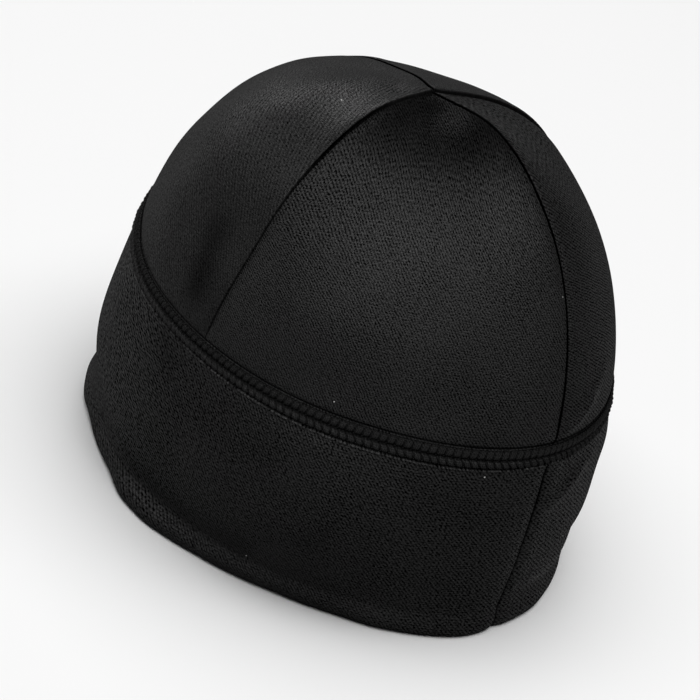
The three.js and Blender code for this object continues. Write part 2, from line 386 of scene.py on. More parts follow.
def grid_faces(rows, columns, first=0, flip=False):
    """Four-sided faces between the points of a grid, listed row by row."""
    faces = []
    for row in range(rows - 1):
        for column in range(columns - 1):
            a = first + row * columns + column
            face = (a, a + 1, a + columns + 1, a + columns)
            faces.append(face[::-1] if flip else face)
    return faces


def ring_faces(sections, corners, flip=False):
    """Four-sided faces round a closed ring of sections, each a closed outline."""
    faces = []
    for section in range(sections):
        here = section * corners
        following = (section + 1) % sections * corners
        for k in range(corners):
            after = (k + 1) % corners
            a, b, c, d = here + k, here + after, following + after, following + k
            faces.append((a, d, c, b) if flip else (a, b, c, d))
    return faces


def rim_faces(rows, columns, under):
    """The faces round the four sides that join two grids of the same size."""
    bottom = [(0, c) for c in range(columns)]
    right = [(r, columns - 1) for r in range(1, rows)]
    top = [(rows - 1, c) for c in range(columns - 2, -1, -1)]
    left = [(r, 0) for r in range(rows - 2, 0, -1)]
    loop = [r * columns + c for r, c in bottom + right + top + left]
    faces = []
    for a, b in zip(loop, loop[1:] + loop[:1]):
        faces.append((b, a, under + a, under + b))
    return faces


# Crown panels
CLOTH_WALL = 1.5
ALLOWANCE_WIDTH = 6.0  # turned-in cloth beside a seam, on the inside
ALLOWANCE_THICKNESS = 1.1
ALLOWANCE_EDGE = 1.2
ROW_STEP = 0.9  # between the mesh's rows, up the panel
GROOVE_RISE = BAND_HEIGHT + STITCH_HALF_WIDTH + 0.35  # the groove above the stitched seam
GROOVE_DEPTH = 0.55
GROOVE_REACH = 0.5
# painted shade in that groove
PAINTED_GROOVE_SHADE = 0.8
SUNKEN_RISE = 191  # where a panel is sunken below the apex, and how far that reaches
SUNKEN_REACH = 12
PAINTED_SUNKEN_LIGHT = 1.15  # painted light on the sunken cloth low down, the painted shade it takes on by the apex, and where
PAINTED_SUNKEN_SHADE = 0.75
PAINTED_SHADE_RISE = 157
PAINTED_SHADE_LENGTH = 28
PROUD_REACH = 7  # how far from its edge a panel stands proud of the next
SEAM_OPENS = 110  # the rise where a crown seam starts to be pulled open, and over what length
SEAM_OPENING = 50
LEFT_SEAM_OPENS = 132
LEFT_SEAM_OPENING = 30
LEFT_SEAM_CLOSES = 180  # where the left seam closes again, over what length and how far
LEFT_SEAM_CLOSING = 16
LEFT_SEAM_CLOSED = 0.7
CLOSED_GAP = 0.05  # half the gap of a closed seam, and how much pulling adds
PULLED_GAP = 0.17
CLOSED_ROLL = 0.3  # the radius of an edge at a closed seam, and how much pulling adds
PULLED_ROLL = 0.35
PAINTED_EDGE_SHADE = 0.1  # how much of a panel's edge has painted shade, and how far that fades out
EDGE_FADE = 0.45
KNIT_PULLED = ((116, 0.6), (-32, 0.35))  # turns where the knit is pulled wide, and how far
PULLED_REACH = 42

# How much knit there is to a length of cloth near the apex, as a share of what there is
# lower down, by the panel's first seam, and the rises between which it changes
KNIT_DRAWN = {BACK_SEAM: 0.4, LEFT_SEAM: 1.0, FRONT_SEAM: 1.0, RIGHT_SEAM: 0.4}
DRAWN_RISES = [128, 168]


def seam_pull(seam, rise):
    """How hard a crown seam is pulled open: not at the band, most near the apex. The left
    seam is pulled only half way up, and closes again at the apex."""
    if seam == LEFT_SEAM:
        closed = LEFT_SEAM_CLOSED * ramp_up(rise - LEFT_SEAM_CLOSES, LEFT_SEAM_CLOSING)
        return ramp_up(rise - LEFT_SEAM_OPENS, LEFT_SEAM_OPENING) * (1 - closed)
    return ramp_up(rise - SEAM_OPENS, SEAM_OPENING)


def edge_gap(pull):
    """From a panel's edge to the middle of the seam."""
    return CLOSED_GAP + PULLED_GAP * pull


def edge_roll(distance, pull):
    """How far a panel's edge turns in beside a seam."""
    radius = CLOSED_ROLL + PULLED_ROLL * pull
    inside = np.clip(radius - distance, 0, radius)
    return np.sqrt(radius**2 - inside**2) - radius


def painted_seam_shade(distance, seam, rise):
    """Painted shade along a panel's edge at a seam: the share of colour and gloss kept there."""
    pulled = {LEFT_SEAM: seam_pull(seam, rise), RIGHT_SEAM: 0.6}.get(seam, 1)
    return 1 - pulled * (1 - ramp_up(distance - PAINTED_EDGE_SHADE, EDGE_FADE))


def knit_turn(turn):
    """The turn that a place had before the knit was pulled wider over the left temple and
    behind the right ear."""
    turns = np.arange(-180, 541)
    wider = sum(how * bump(turned(at, turns), PULLED_REACH) for at, how in KNIT_PULLED)
    return np.interp(turn, turns, np.concatenate([[0], np.cumsum(1 - wider[1:])]))


def panel_grain(turn, rise, centre_turn, drawn):
    """Where a place of a panel lay in the flat cut. At the back the cloth is drawn longer
    near the apex and narrower across, so the knit leans less there."""
    lift = np.clip(crown_angle(rise), 1, 89.5) * DEGREE
    slant = GIRTH_RADIUS / np.tan(lift)
    spread = (knit_turn(turn) - knit_turn(centre_turn)) * DEGREE * np.sin(lift)
    heights = np.linspace(BAND_HEIGHT, BAND_HEIGHT + CROWN_ARC, 200)
    shares = np.interp(heights, DRAWN_RISES, [1.0, drawn])
    grown = BAND_HEIGHT + np.concatenate([[0], np.cumsum(shares[1:] * np.diff(heights))])
    across = slant * np.sin(spread) * np.interp(rise, DRAWN_RISES, [1.0, 1.6 - 0.6 * drawn])
    up = np.interp(rise, heights, grown) + slant * (1 - np.cos(spread))
    return np.stack([across, up], -1)


def crown_panel(name, node, seams, proud, flatness, sunken=0):
    """One crown panel, with rolled edges and its allowances on the inside. It stands proud
    of the next panels at its two seams, and may be sunken between them near the apex."""
    first_seam, last_seam = seams
    first_proud, last_proud = proud
    # the mesh's columns, as shares of the panel's width, and its rows, as rises. Both are
    # closest where the cloth bends.
    near_edge = np.array([0, 0.9, 2, 3.4, 5.2, 7.6, 11, 16, 23, 32, 44, 58]) / 1000
    inner = np.linspace(0.075, 0.925, 62)
    parts = np.concatenate([near_edge, inner, 1 - near_edge[::-1]])
    rises = np.concatenate(
        [
            BAND_HEIGHT + np.array([0.1, 1.2, 2.2, 2.8, 3.1, 3.35, 3.6, 3.85, 4.1, 4.5, 5.1]),
            BAND_HEIGHT + 0.1 + np.arange(6, CROWN_ARC - 4, ROW_STEP),
            BAND_HEIGHT + CROWN_ARC - np.array([3.2, 2.3, 1.6, 1.0, 0.6, 0.3]),
        ]
    )
    rise = rises[:, None] + 0 * parts
    first = seam_turn(first_seam, rise)
    last = seam_turn(last_seam, rise)
    turn = first + (last - first) * parts
    width = (last - first) * DEGREE * girth(rise)
    pull = seam_pull(first_seam, rise) * (1 - parts) + seam_pull(last_seam, rise) * parts
    gap = edge_gap(pull)
    inwards = gap / np.maximum(width, 1) * (1 - 2 * parts)
    turn = turn + (last - first) * inwards
    from_first = parts * width
    from_last = (1 - parts) * width
    nearest = np.minimum(from_first, from_last)
    above = ramp_up(rise - BAND_HEIGHT - STITCH_HALF_WIDTH, 8)
    drawn_in = -SEAM_DEPTH * bump(nearest, SEAM_REACH) * above
    lifted = first_proud * (1 - ramp_up(from_first, PROUD_REACH))
    lifted = lifted + last_proud * (1 - ramp_up(from_last, PROUD_REACH))
    relief = fold_relief(turn, rise) + drawn_in + lifted * above
    relief = relief + unevenness(turn, rise, CROWN_WAVE) * above
    relief = relief + panel_flatness(flatness, turn, first, last, rise)
    between = np.sin(math.pi * parts) ** 0.8
    relief = relief - sunken * bump(rise - SUNKEN_RISE, SUNKEN_REACH) * between
    groove = bump(rise - GROOVE_RISE, GROOVE_REACH)
    outer = place(turn, rise, relief - GROOVE_DEPTH * groove + edge_roll(nearest, pull))
    allowance = ALLOWANCE_THICKNESS * (1 - ramp_up(nearest - ALLOWANCE_WIDTH, ALLOWANCE_EDGE))
    inside = place(turn, rise, relief - CLOTH_WALL - allowance)
    rows, columns = rise.shape
    points = np.concatenate([outer.reshape(-1, 3), inside.reshape(-1, 3)])
    under = rows * columns
    faces = grid_faces(rows, columns, 0, flip=True)
    faces += grid_faces(rows, columns, under)
    faces += [face[::-1] for face in rim_faces(rows, columns, under)]
    centre = (first + last) / 2
    grain = panel_grain(turn, rise, centre, KNIT_DRAWN[first_seam]).reshape(-1, 2)
    grain = np.concatenate([grain, grain])
    piece = make_piece(name, points, faces, grain, node)
    # painted shade at the seams' edges, in the groove over the stitched seam and in the hollows,
    # and painted light on the crests; the inside face keeps full colour
    painted_shading = painted_seam_shade(from_first, first_seam, rise)
    painted_shading = painted_shading * painted_seam_shade(from_last, last_seam, rise)
    painted_shading = painted_shading * (1 - PAINTED_GROOVE_SHADE * groove) * painted_hollow_shading(turn, rise)
    if sunken:
        # painted shade on the sunken cloth by the apex, and painted light a little lower down
        shade = PAINTED_SUNKEN_SHADE * ramp_up(rise - PAINTED_SHADE_RISE, PAINTED_SHADE_LENGTH)
        painted_shading = painted_shading * (PAINTED_SUNKEN_LIGHT - shade)
    keep_painted_shading(piece, np.stack([painted_shading, 0 * painted_shading + 1]))
    return piece


# Length along the stitched seam, by turn, and the stitches that share it out
STITCH_PITCH = 2.8  # nominal
SEAM_TURNS = np.linspace(0, 360, 3601)
SEAM_LINE = place(SEAM_TURNS, BAND_HEIGHT, 0)
SEAM_WAY = np.concatenate([[0], np.cumsum(np.linalg.norm(np.diff(SEAM_LINE, axis=0), axis=1))])
SEAM_LENGTH = SEAM_WAY[-1]
STITCH_COUNT = round(SEAM_LENGTH / STITCH_PITCH)
STITCH_LENGTH = SEAM_LENGTH / STITCH_COUNT


def turn_at(way):
    return np.interp(way % SEAM_LENGTH, SEAM_WAY, SEAM_TURNS)


def way_at(turn):
    return np.interp(turn % 360, SEAM_TURNS, SEAM_WAY)


# The band: one strip of jersey, folded double at the hem and sewn to a ring at the back
LAYER = 1.2
BAND_WALL = 2.6
HEM_LIP = softened([-1, 0, 1.2, 3.4, 4.6, 9.6, 80], [-0.9, -0.5, 0.6, 0.9, 0.75, 0, 0], 0.45)
HEM_HOLLOW = softened([-5, 4.6, 9.8, 13, 30, 80], [0, 0, 1, 0.9, 0, 0], 0.7)
SEAM_LIP_RISE = BAND_HEIGHT - STITCH_HALF_WIDTH - 0.75  # the lip under the stitched seam
SEAM_LIP = 0.5
SEAM_LIP_REACH = 0.5
SEAM_GROOVE_RISE = BAND_HEIGHT - STITCH_HALF_WIDTH + 0.1  # the groove above that lip
SEAM_GROOVE_DEPTH = 1.3
SEAM_GROOVE_REACH = 0.55
# painted shade in that groove, and how far it reaches
PAINTED_SEAM_GROOVE_SHADE = 0.9
PAINTED_SEAM_SHADE_REACH = 0.5
BACK_SEAM_DIP = 0.8  # how far the back seam draws both layers in, and how wide
BACK_SEAM_DIP_REACH = 2.5
BACK_SEAM_CUT = 0.8  # how far the outer layer turns in at the back seam, and how wide
BACK_SEAM_CUT_REACH = 0.42
PAINTED_BACK_SEAM_SHADE = 0.1  # how far the painted shade line along it reaches to each side, and how far it fades out
BACK_SEAM_FADE = 0.6

# The hollow above the rolled hem: its depth all round, and where it is deeper (turn, reach,
# how much)
HEM_HOLLOW_DEPTH = 0.5
HEM_FLARES = ((88, 42, 1.9), (272, 50, 0.8))


def hem_hollow_depth(turn):
    """The hem flares most on the wearer's left, and hardly at the back."""
    depth = HEM_HOLLOW_DEPTH
    for at, reach, more in HEM_FLARES:
        depth = depth + more * bump(turned(at, turn), reach)
    return depth


def band_relief(turn, rise):
    """What moves both layers of the band alike."""
    below_stitches = ramp_up(BAND_HEIGHT - STITCH_HALF_WIDTH - rise, 6)
    drawn_in = BACK_SEAM_DIP * bump(way_round(turn, 0, rise), BACK_SEAM_DIP_REACH)
    relief = fold_relief(turn, rise) - drawn_in * below_stitches
    relief = relief - hem_hollow_depth(turn) * HEM_HOLLOW(rise)
    return relief + unevenness(turn, rise, BAND_WAVE) * below_stitches


def outer_layer_relief(turn, rise):
    """What only the band's outer face has: lip, seam groove and the stitched edge."""
    way = way_at(turn)
    scallop = 0.5 + 0.5 * np.cos(2 * math.pi * way / STITCH_LENGTH)
    lip = SEAM_LIP * (0.5 + 0.5 * scallop) * bump(rise - SEAM_LIP_RISE, SEAM_LIP_REACH)
    groove = -SEAM_GROOVE_DEPTH * bump(rise - SEAM_GROOVE_RISE, SEAM_GROOVE_REACH)
    cut = -BACK_SEAM_CUT * bump(way_round(turn, 0, rise), BACK_SEAM_CUT_REACH)
    return HEM_LIP(rise) + lip + groove + cut * ramp_up(BAND_HEIGHT - rise, 4)


def lower_band():
    ways = np.arange(4 * STITCH_COUNT) * STITCH_LENGTH / 4
    near_seam = np.array([-1.6, -1.1, -0.5, -0.32, -0.16, 0.16, 0.32, 0.5, 1.1, 1.6])
    ways = np.sort(np.concatenate([ways, near_seam % SEAM_LENGTH]))
    # rises of the mesh's rows: down the outer face, round the fold (with how far out), up the
    # inner face, then down and up the slit between the two layers
    top = BAND_HEIGHT - 0.1
    outer = np.concatenate(
        [
            [top, 72.6, 71.7, 71.3, 71.0, 70.7, 70.4, 70.1, 69.8, 69.4, 68.9, 68.2],
            np.arange(67, 14, -1.25),
            [13.4, 12.6, 11.8, 11.1, 10.5, 9.9, 9.3, 8.6, 7.8, 7, 6.2, 5.4, 4.7, 4.1],
            [3.5, 2.8, 2.1, 1.5, 1.0, 0.6, 0.3, 0.1],
        ]
    )
    fold = [(0, -1.1), (0.15, -1.8), (0.7, -2.35), (1.7, -2.6)]
    inner = [4, 7, 10, 13, 18, 24, 31, 39, 47, 55, 63, 69, top]
    slit_down = [top, 66, 54, 42, 30, 20, 13, 10, 7, 4, 2.2]
    slit_up = slit_down[::-1]
    turn = turn_at(ways)[:, None]
    rise = np.concatenate([outer, [r for r, out in fold], inner, slit_down, slit_up])
    shared = band_relief(turn, rise)
    own = np.zeros((len(ways), len(rise)))
    size = len(outer)
    own[:, :size] = outer_layer_relief(turn, outer)
    own[:, size : size + len(fold)] = [out for r, out in fold]
    start = size + len(fold)
    own[:, start : start + len(inner)] = -BAND_WALL
    start += len(inner)
    own[:, start : start + len(slit_down)] = -BAND_WALL + LAYER
    start += len(slit_down)
    own[:, start:] = HEM_LIP(np.array(slit_up)) - LAYER
    points = place(turn, rise, shared + own)
    faces = ring_faces(*own.shape)
    length = knit_turn(turn) * DEGREE * GIRTH_RADIUS + 0 * rise
    folded = np.where(np.arange(len(rise)) < size, rise, -rise)
    grain = np.stack([length, folded + 0 * length], -1).reshape(-1, 2)
    piece = make_piece("band", points.reshape(-1, 3), faces, grain, "lower_band")
    # painted shade in the groove under the stitched seam, along the back seam and in the
    # hollows, with painted light on the creases' crests; only the outer face has it
    painted_shading = 1 + 0 * own
    painted_shading[:, :size] -= PAINTED_SEAM_GROOVE_SHADE * bump(outer - SEAM_GROOVE_RISE, PAINTED_SEAM_SHADE_REACH)
    from_back_seam = np.abs(way_round(turn, 0, outer))
    painted_shading[:, :size] *= ramp_up(from_back_seam - PAINTED_BACK_SEAM_SHADE, BACK_SEAM_FADE)
    painted_shading[:, :size] *= painted_hollow_shading(turn, outer)
    keep_painted_shading(piece, painted_shading)
    return piece


# The stitched seam: two soft ridges of cloth drawn up under the threads
LOWER_BEADS_BACK = 0.9  # how far back along the seam the lower beads stand from the upper

# Upper and lower ridge: its middle above the seam's, how its beads lean and stand back, the
# depth of the notches, half its width, how full its arch is (less is fuller) and its height
RIDGES = (
    (1.55, 0.35, 0, 0.5, 1.35, 0.6, 1.1),
    (-1.65, -0.45, LOWER_BEADS_BACK, 0.65, 1.05, 0.5, 1.35),
)
BEAD_WIDTH = 0.25  # how much a full bead adds to half the ridge's width
RIDGE_BASE = 0.05
rng = np.random.default_rng(7)
STITCH_LIVELINESS = rng.uniform(-1, 1, (2, STITCH_COUNT))


def bead_height(way, ridge, notch):
    """A ridge's height along its length: a bead for every stitch, a notch after each."""
    beat = way / STITCH_LENGTH
    stitch = np.floor(beat + 0.5).astype(int) % STITCH_COUNT
    from_notch = (0.5 - np.abs(beat - np.floor(beat + 0.5))) * STITCH_LENGTH
    bead = 1 + 0.1 * STITCH_LIVELINESS[ridge][stitch] * ramp_up(from_notch, 0.8)
    return bead - notch * bump(from_notch, 0.55)


def ridge_height(way, up):
    """The stitched seam's height over the cloth, with a pucker at every stitch."""
    heights = []
    for ridge, (middle, lean, back, notch, half_width, fullness, height) in enumerate(RIDGES):
        bead = bead_height(way + lean * (up - middle) + back, ridge, notch)
        from_middle = (up - middle) / (half_width + BEAD_WIDTH * bead)
        arch = np.clip(1 - from_middle**2, 0, 1) ** fullness
        heights.append(height * bead * arch)
    return RIDGE_BASE + np.maximum(*heights)


def stitched_seam():
    ways = np.linspace(0, SEAM_LENGTH, 11 * STITCH_COUNT, endpoint=False)
    over = np.array(
        [-3.05, -2.98, -2.8, -2.5, -2.1, -1.65, -1.2, -0.8, -0.5, -0.3, -0.22, -0.1, 0.05]
        + [0.3, 0.65, 1.1, 1.55, 2.0, 2.45, 2.8, 3.05, 3.22, 3.3]
    )
    under = np.array([3.2, 1.8, 0, -1.6, -2.95])
    way = ways[:, None]
    turn = turn_at(way)
    heights = ridge_height(way, over[None, :])
    out = np.concatenate([heights, np.full((len(ways), len(under)), 0.04)], 1)
    up = np.concatenate([over, under])
    points = place(turn, BAND_HEIGHT + up, out)
    faces = ring_faces(*out.shape, flip=True)
    grain = np.stack([way + 0 * up, up + 0 * way], -1).reshape(-1, 2)
    piece = make_piece(
        "stitched_seam", points.reshape(-1, 3), faces, grain, "cover_stitch"
    )
    # painted shade in the ridges' notches and low on their flanks, from how far out each point
    # stands
    keep_painted_shading(piece, 0.12 + 0.88 * np.clip(out / 1.2, 0, 1) ** 1.5)
    return piece


# Threads, in millimetres
THREAD_SIDES = 5
COVER_THREAD_RADIUS = 0.24
NEEDLE_THREAD_RADIUS = 0.19
PANEL_THREAD_RADIUS = 0.14
PANEL_THREAD_PITCH = 1.35
PANEL_THREAD_DEPTH = 1.0  # below the panels' edges
HAT_MIDDLE = np.array([0, 0, 60.0])

# Covering threads over each ridge: from and to how far above the seam's middle, how far they
# slant along it, and how far back they start
COVER_ROWS = ((0.1, 3.0, -0.9, 0), (-2.9, -0.4, 1.1, LOWER_BEADS_BACK))

# Rows of needle stitches: how far above the seam's middle, share of the pitch that shows, lift
NEEDLE_ROWS = ((2.95, 0.6, 0.1), (-0.1, 0.5, 0.1), (-2.85, 0.5, 0.1))


def thread_mesh(name, paths, radius):
    """Short threads as tubes. paths holds the points of each, in millimetres."""
    count, length = paths.shape[:2]
    sides = THREAD_SIDES
    along = np.gradient(paths, axis=1)
    along /= np.linalg.norm(along, axis=-1, keepdims=True)
    outwards = paths - HAT_MIDDLE
    across = np.cross(along, outwards)
    across /= np.linalg.norm(across, axis=-1, keepdims=True)
    over = np.cross(across, along)
    taper = np.ones(length)
    taper[0] = taper[-1] = 0.55
    angles = 2 * math.pi * np.arange(sides) / sides
    rings = [
        paths + (np.cos(a) * across + np.sin(a) * over) * (radius * taper)[None, :, None]
        for a in angles
    ]
    points = np.stack(rings, 2).reshape(-1, 3)
    faces = []
    for thread in range(count):
        first = thread * length * sides
        for step in range(length - 1):
            a = first + step * sides
            for side in range(sides):
                b = (side + 1) % sides
                faces.append((a + side, a + b, a + sides + b, a + sides + side))
        faces.append(tuple(first + side for side in range(sides))[::-1])
        last = first + (length - 1) * sides
        faces.append(tuple(last + side for side in range(sides)))
    shape = (count, length, sides)
    # painted shade where each thread dives into the cloth at its ends
    middle = np.sin(math.pi * (np.arange(length) + 0.3) / (length - 0.4))
    painted_shading = np.broadcast_to(0.15 + 0.85 * middle[None, :, None], shape)
    grain = np.stack(
        [
            np.broadcast_to(np.arange(length)[None, :, None] * 0.5, shape),
            np.broadcast_to(np.arange(sides)[None, None, :] * 0.3, shape),
        ],
        -1,
    ).reshape(-1, 2)
    piece = make_piece(name, points, faces, grain)
    keep_painted_shading(piece, painted_shading)
    return piece


def cover_threads():
    """Covering thread laid slantwise over both ridges, three strands to a stitch."""
    strands = 3 * STITCH_COUNT
    beads = np.repeat(np.arange(STITCH_COUNT), 3) * STITCH_LENGTH
    starts = beads + np.tile([-0.62, 0, 0.62], STITCH_COUNT) + rng.uniform(-0.1, 0.1, strands)
    t = np.linspace(0, 1, 7)
    paths = []
    for low, high, slant, back in COVER_ROWS:
        way = starts[:, None] + slant * (t - 0.5) - back + rng.uniform(-0.06, 0.06, (strands, 1))
        up = low + (high - low) * t + 0 * way
        out = ridge_height(way, up) + 0.02
        paths.append(place(turn_at(way), BAND_HEIGHT + up, out))
    return thread_mesh("cover_threads", np.concatenate(paths), COVER_THREAD_RADIUS)


def needle_threads():
    """Rows of short straight stitches that hold the covering thread down."""
    t = np.linspace(0, 1, 6)
    paths = []
    for up, share, lift in NEEDLE_ROWS:
        starts = np.arange(2 * STITCH_COUNT) * STITCH_LENGTH / 2
        starts = starts + rng.uniform(-0.1, 0.1, len(starts))
        way = starts[:, None] + share * STITCH_LENGTH / 2 * (t - 0.5)
        rows = up + rng.uniform(-0.07, 0.07, (len(starts), 1)) + 0 * t
        out = ridge_height(way, rows) + lift * (1 - (2 * t - 1) ** 2)
        paths.append(place(turn_at(way), BAND_HEIGHT + rows, out))
    return thread_mesh("needle_threads", np.concatenate(paths), NEEDLE_THREAD_RADIUS)


def panel_threads():
    """The thread that joins the crown's panels. It shows in the open top of each seam."""
    t = np.linspace(-1, 1, 4)
    rises = np.arange(118, 205, PANEL_THREAD_PITCH)
    paths = []
    for seam in (BACK_SEAM, LEFT_SEAM, FRONT_SEAM, RIGHT_SEAM):
        rise = rises[:, None] + 0.2 * t
        middle = seam_turn(seam, rise)
        turn = middle + 0.42 * t / girth(rise) / DEGREE
        relief = fold_relief(middle, rise) + unevenness(middle, rise, CROWN_WAVE)
        paths.append(place(turn, rise, relief - SEAM_DEPTH - PANEL_THREAD_DEPTH + 0 * t))
    return thread_mesh("panel_threads", np.concatenate(paths), PANEL_THREAD_RADIUS)


# Materials


def linear(hex_colour):
    """An sRGB hex colour as linear red, green, blue and alpha."""
    parts = [int(hex_colour[i : i + 2], 16) / 255 for i in (1, 3, 5)]
    return (*(c / 12.92 if c <= 0.04045 else ((c + 0.055) / 1.055) ** 2.4 for c in parts), 1)


def add(tree, kind, inputs=None, **settings):
    """One node with its settings. An input is a value or another node's output."""
    node = tree.nodes.new(kind)
    for name, value in settings.items():
        setattr(node, name, value)
    for key, value in (inputs or {}).items():
        if isinstance(value, bpy.types.NodeSocket):
            tree.links.new(value, node.inputs[key])
        else:
            node.inputs[key].default_value = value
    return node


def empty_material(name):
    material = bpy.data.materials.new(name)
    material.use_nodes = True
    material.node_tree.nodes.clear()
    return material


# The knit, in millimetres of cloth, with noise scales in features a millimetre. The real
# cloth's ribs and courses are near 0.75 mm apart and its fibres finer still. All are drawn
# coarser so that they show.
RIB_LEAN = 40.0  # the knit's diagonal ribs, off the cloth's upward grain
RIB_PITCH = 0.96
COURSE_PITCH = 0.95
COURSE_LEAN = -90
RIB_SWAY = 0.9
COURSE_SWAY = 1.1
SWAY_SCALE = 0.2
FIBRE_SHARE = 2.8
SLUB_SCALE = 1.3
SLUB_SHARE = 0.9
SLUB_STRETCH = (0.4, 1.0, 1.0)  # slubs lie along the courses
PATCH_SCALE = 0.045  # where brushing left the cloth a little duller
PATCH_SHARE = 0.5
ROUGHNESS_DULL = 0.5
ROUGHNESS_SMOOTH = 0.42
ROUGHNESS_MATT = 0.95
EDGE_ON = 0.3  # how edge-on the cloth is seen before it grows matt
LINT_SCALE = 0.014
LINT_EDGE = 0.0045  # a speck's edge and its full paleness, as distances in that scale
LINT_CORE = 0.002
KNIT_MIDDLE = 2.32  # the mean of all the knit's parts together
KNIT_RELIEF = 0.00015  # in metres
# the cloth's colour runs between these with the knit and the brushed patches, and painted shade
# draws it to the dark end
JERSEY_DARK = "#000000"
JERSEY_LIGHT = "#080808"
LINT_PALE = "#3d3d3c"
GLEAM = "#bfbfbf"  # how light the gloss is where the cloth faces the eye
GLOSS = 0.06  # weak, because black fibres swallow most of the light
SHEEN = 0.0008
COLOUR_A, COLOUR_B, COLOUR_RESULT = 6, 7, 2  # the sockets of a Mix node set to colour


def matt_gaps_glossy_tops(tree, height, colour, relief, roughness, sheen_roughness):
    """Loops of knit and strands of thread alike are matt in the gaps between them and have
    a soft gloss on top. height mixes the two; painted shade in it also takes off the gloss."""
    gaps = add(
        tree,
        "ShaderNodeBsdfPrincipled",
        {
            "Base Color": colour,
            "Roughness": ROUGHNESS_MATT,
            "Normal": relief,
            "Specular IOR Level": 0.0,
        },
    ).outputs["BSDF"]
    tops = add(
        tree,
        "ShaderNodeBsdfPrincipled",
        {
            "Base Color": colour,
            "Roughness": roughness,
            "Normal": relief,
            "IOR": 1.5,
            "Specular IOR Level": GLOSS,
            "Specular Tint": linear(GLEAM),
            "Sheen Weight": SHEEN,
            "Sheen Roughness": sheen_roughness,
        },
    ).outputs["BSDF"]
    surface = add(tree, "ShaderNodeMixShader", {0: height, 1: gaps, 2: tops})
    add(tree, "ShaderNodeOutputMaterial", {"Surface": surface.outputs["Shader"]})


def sine_lines(tree, grain, waver, sway, lean, pitch):
    """Even lines across the cloth, a pitch apart, that sway a little."""
    way = 2 * math.pi / pitch
    step = (way * math.cos(lean * DEGREE), -way * math.sin(lean * DEGREE), 0)
    flat = add(tree, "ShaderNodeVectorMath", {0: grain, 1: step}, operation="DOT_PRODUCT")
    phase = add(
        tree,
        "ShaderNodeMath",
        {0: waver, 1: sway * way, 2: flat.outputs["Value"]},
        operation="MULTIPLY_ADD",
    )
    return add(tree, "ShaderNodeMath", {0: phase.outputs[0]}, operation="SINE").outputs[0]


